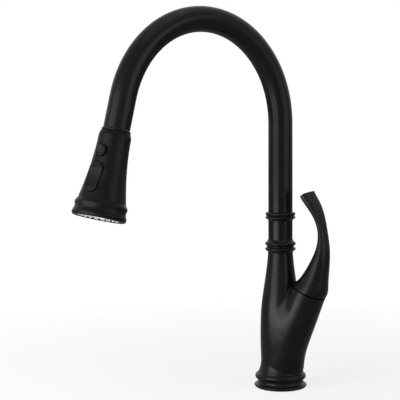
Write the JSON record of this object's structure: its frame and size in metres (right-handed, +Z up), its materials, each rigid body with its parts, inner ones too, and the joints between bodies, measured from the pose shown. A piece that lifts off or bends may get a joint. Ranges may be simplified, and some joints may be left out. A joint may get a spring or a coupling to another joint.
{
  "type": "pull-down kitchen faucet",
  "caption": "Single-lever kitchen faucet with a high arched swivel spout, a pull-down spray head with button and rocker, and a twisted side lever on a Y-shaped body.",
  "frame": {"origin": "centre of the threaded shank socket in the underside of the base", "axes": "+Z up along the column, the spout points to -Y at rest, the lever is on the +X side"},
  "size_m": [0.0827, 0.2906, 0.4028],
  "materials": {
    "black_metal": "matte black powder coat on brass and zinc",
    "black_plastic": "matte black, fine moulded texture",
    "button_plastic": "matte black, slightly smoother than the shell",
    "black_acetal": "black acetal, smooth",
    "rubber": "plain",
    "soft_grey": "translucent grey silicone",
    "white_plastic": "moulded acetal",
    "ceramic": "lapped alumina",
    "brass": "machined",
    "steel": "plain stainless"
  },
  "bodies": {
    "body": {"base_ring": "black_metal", "base_gasket": "rubber", "body_shell": "black_metal", "neck_collar": "black_metal", "swivel_washer": "black_acetal", "neck_bushes": "black_acetal", "neck_seal": "rubber", "cartridge_housing": "white_plastic", "seat_seals": "rubber", "fixed_disc": "ceramic", "cartridge_nut": "brass", "bonnet": "black_metal"},
    "spout": {"spout_tube": "black_metal", "spout_spigot": "brass", "snap_ring": "steel", "spout_collar": "black_metal", "upper_collar": "black_metal", "dock_collar": "black_metal", "dock_bush": "black_acetal"},
    "cartridge_turn": {"cartridge_carrier": "white_plastic", "stem_pin": "steel"},
    "lever": {"lever_handle": "black_metal", "cartridge_stem": "brass", "lever_screw": "steel", "lever_plug": "button_plastic"},
    "valve_disc": {"moving_disc": "ceramic"},
    "hose_inlet": {"swivel_inlet": "brass"},
    "spray_head": {"spray_shell": "black_plastic", "face_ring": "black_plastic", "face_plate": "black_plastic", "nozzle_mat": "soft_grey", "aerator": "white_plastic", "core_block": "black_acetal", "dock_insert": "black_plastic", "rocker_pin": "steel"},
    "pause_button": {"pause_button": "button_plastic"},
    "mode_rocker": {"mode_rocker": "button_plastic"},
    "diverter": {"diverter_spool": "black_acetal"}
  },
  "joints": [
    {"name": "spout_swivel", "type": "hinge", "parent": "body", "child": "spout", "pos_m": [0, 0, 0.1529], "axis": [0, 0, 1], "continuous": true},
    {"name": "lever_turn", "type": "hinge", "parent": "body", "child": "cartridge_turn", "pos_m": [0.02809, 0.0094, 0.09604], "axis": [0.3857, 0.1291, 0.9135], "range_deg": [-45, 45]},
    {"name": "lever_lift", "type": "hinge", "parent": "cartridge_turn", "child": "lever", "pos_m": [0.02809, 0.0094, 0.09604], "axis": [-0.3173, 0.9483, 0], "range_deg": [0, 20]},
    {"name": "disc_slide", "type": "slide", "parent": "cartridge_turn", "child": "valve_disc", "axis": [0.8663, 0.2899, -0.4067], "range_m": [-0.006, 0]},
    {"name": "spray_pull", "type": "slide", "parent": "spout", "child": "hose_inlet", "axis": [0, -0.2504, -0.9681], "range_m": [0, 0.15], "stiffness_N_per_m": 8, "springref_m": -0.8},
    {"name": "spray_turn", "type": "hinge", "parent": "hose_inlet", "child": "spray_head", "pos_m": [0, -0.21721, 0.26753], "axis": [0, 0.2504, 0.9681], "continuous": true},
    {"name": "pause_press", "type": "slide", "parent": "spray_head", "child": "pause_button", "axis": [-0.2924, 0.9258, -0.2394], "range_m": [0, 0.0025], "stiffness_N_per_m": 900},
    {"name": "rocker_tilt", "type": "hinge", "parent": "spray_head", "child": "mode_rocker", "pos_m": [0.00494, -0.24237, 0.23478], "axis": [0.9563, 0.2831, -0.0732], "range_deg": [-6, 6]},
    {"name": "spool_slide", "type": "slide", "parent": "spray_head", "child": "diverter", "axis": [0, 0.2504, 0.9681], "range_m": [-0.00115, 0.00115]}
  ],
  "couplings": [
    {"joint": "disc_slide", "follows": "lever_lift", "m_per_rad": -0.0124},
    {"joint": "rocker_tilt", "follows": "spool_slide", "rad_per_m": 85.764}
  ]
}
